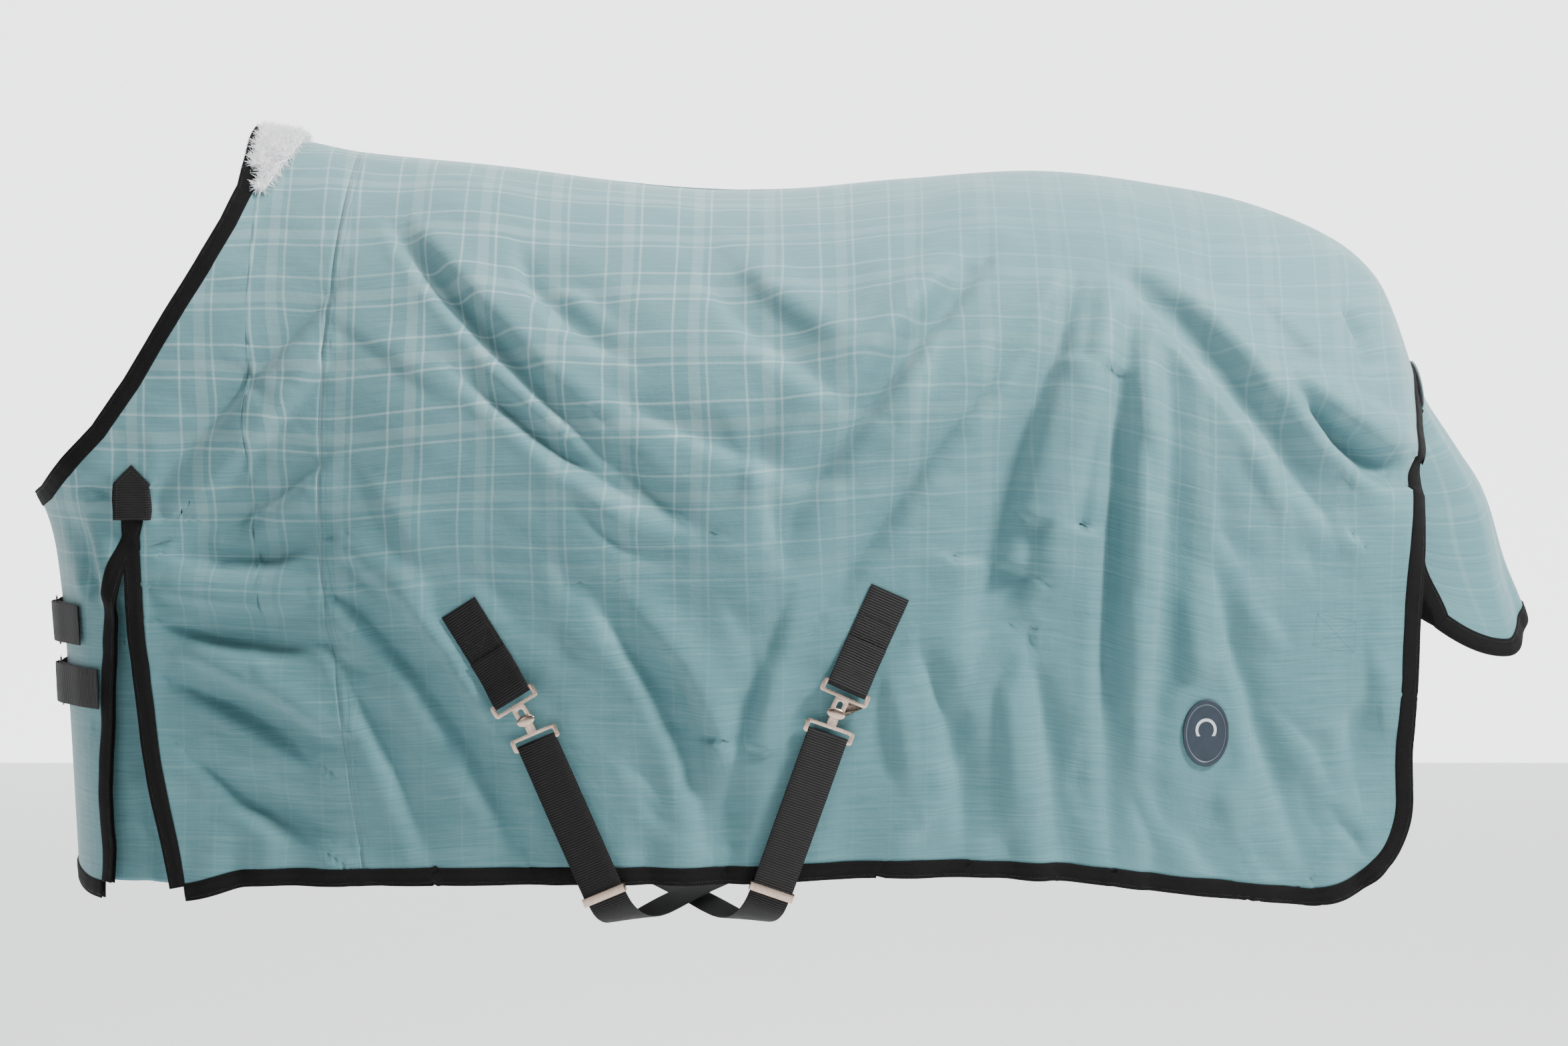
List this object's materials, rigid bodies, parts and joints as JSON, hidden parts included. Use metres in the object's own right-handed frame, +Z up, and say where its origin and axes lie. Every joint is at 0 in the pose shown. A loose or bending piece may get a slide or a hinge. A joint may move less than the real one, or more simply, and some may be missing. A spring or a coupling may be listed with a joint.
{
  "type": "turnout rug",
  "caption": "Horse turnout rug with shoulder gussets, bound edges, crossed surcingles with button hooks, chest buckles, tail flap and a fleece wither pad.",
  "frame": {"origin": "on the horse's skin at the top of the withers, in the rug's middle plane", "axes": "+X towards the tail, -Y towards the horse's left side, +Z up"},
  "size_m": [1.89, 0.681, 0.9933],
  "materials": {
    "outer": "coated woven ripstop, faint tartan",
    "lining": "smooth woven nylon",
    "binding": "twill tape, matte",
    "webbing": "ribbed woven nylon",
    "fleece": "long pile faux fur",
    "hardware": "plated, satin",
    "badge": "moulded, satin"
  },
  "bodies": {
    "rug": {"shoulder_panel_left": "outer", "shoulder_panel_right": "outer", "body_panel_front_left": "outer", "body_panel_front_right": "outer", "body_panel_rear_left": "outer", "body_panel_rear_right": "outer", "gusset_left": "outer", "gusset_right": "outer", "shoulder_lining_left": "lining", "shoulder_lining_right": "lining", "body_lining_left": "lining", "body_lining_right": "lining", "neck_binding_left": "binding", "neck_binding_right": "binding", "chest_edge_binding_left": "binding", "chest_edge_binding_right": "binding", "chest_hem_binding_left": "binding", "chest_hem_binding_right": "binding", "gusset_front_binding_left": "binding", "gusset_front_binding_right": "binding", "gusset_rear_binding_left": "binding", "gusset_rear_binding_right": "binding", "hem_binding_left": "binding", "hem_binding_right": "binding", "gusset_tip_left": "webbing", "gusset_tip_right": "webbing", "surcingle_anchor_front_left": "webbing", "surcingle_anchor_rear_left": "webbing", "surcingle_anchor_front_right": "webbing", "surcingle_anchor_rear_right": "webbing", "belly_strap_front": "webbing", "belly_strap_rear": "webbing", "chest_tab_upper": "webbing", "chest_tab_lower": "webbing", "chest_strap_upper": "webbing", "chest_strap_lower": "webbing", "leg_loop_left": "webbing", "leg_loop_right": "webbing", "wither_fleece": "fleece", "surcingle_catch_front": "hardware", "surcingle_catch_rear": "hardware", "chest_buckle_upper": "hardware", "chest_buckle_lower": "hardware", "maker_badge": "badge"},
    "tail_flap": {"tail_flap": "outer", "tail_flap_lining": "lining", "tail_flap_binding": "binding"},
    "surcingle_front": {"surcingle_hook_front": "hardware", "surcingle_drop_front": "webbing"},
    "surcingle_rear": {"surcingle_hook_rear": "hardware", "surcingle_drop_rear": "webbing"},
    "slider_front": {"surcingle_slider_front": "hardware"},
    "slider_rear": {"surcingle_slider_rear": "hardware"},
    "prong_upper": {"chest_prong_upper": "hardware"},
    "prong_lower": {"chest_prong_lower": "hardware"},
    "leg_ring_left": {"leg_ring_left": "hardware"},
    "leg_ring_right": {"leg_ring_right": "hardware"}
  },
  "joints": [
    {"name": "tail_flap_lift", "type": "hinge", "parent": "rug", "child": "tail_flap", "pos_m": [1.4545, 0, -0.287], "axis": [0, -1, 0], "range_deg": [0, 100]},
    {"name": "surcingle_front_sway", "type": "hinge", "parent": "rug", "child": "surcingle_front", "pos_m": [0.34381, -0.3093, -0.71175], "axis": [-0.1562, -0.9863, -0.0533], "range_deg": [-12, 12]},
    {"name": "slider_front_slide", "type": "slide", "parent": "surcingle_front", "child": "slider_front", "axis": [-0.4021, 0.0142, 0.9155], "range_m": [0, 0.09]},
    {"name": "surcingle_rear_sway", "type": "hinge", "parent": "rug", "child": "surcingle_rear", "pos_m": [0.71951, -0.33708, -0.69982], "axis": [0.0362, -0.9976, -0.0584], "range_deg": [-12, 12]},
    {"name": "slider_rear_slide", "type": "slide", "parent": "surcingle_rear", "child": "slider_rear", "axis": [0.3339, -0.043, 0.9416], "range_m": [0, 0.09]},
    {"name": "prong_upper_lift", "type": "hinge", "parent": "rug", "child": "prong_upper", "pos_m": [-0.26315, -0.05336, -0.61261], "axis": [-0.0697, 0, 0.9976], "range_deg": [0, 30]},
    {"name": "prong_lower_lift", "type": "hinge", "parent": "rug", "child": "prong_lower", "pos_m": [-0.25939, -0.0534, -0.69034], "axis": [-0.0388, 0, 0.9992], "range_deg": [0, 30]},
    {"name": "leg_ring_left_swing", "type": "hinge", "parent": "rug", "child": "leg_ring_left", "pos_m": [1.32387, -0.25018, -0.62911], "axis": [0.953, 0.2185, -0.2097], "range_deg": [0, 70]},
    {"name": "leg_ring_right_swing", "type": "hinge", "parent": "rug", "child": "leg_ring_right", "pos_m": [1.32387, 0.25018, -0.62911], "axis": [-0.953, 0.2185, 0.2097], "range_deg": [0, 70]}
  ]
}
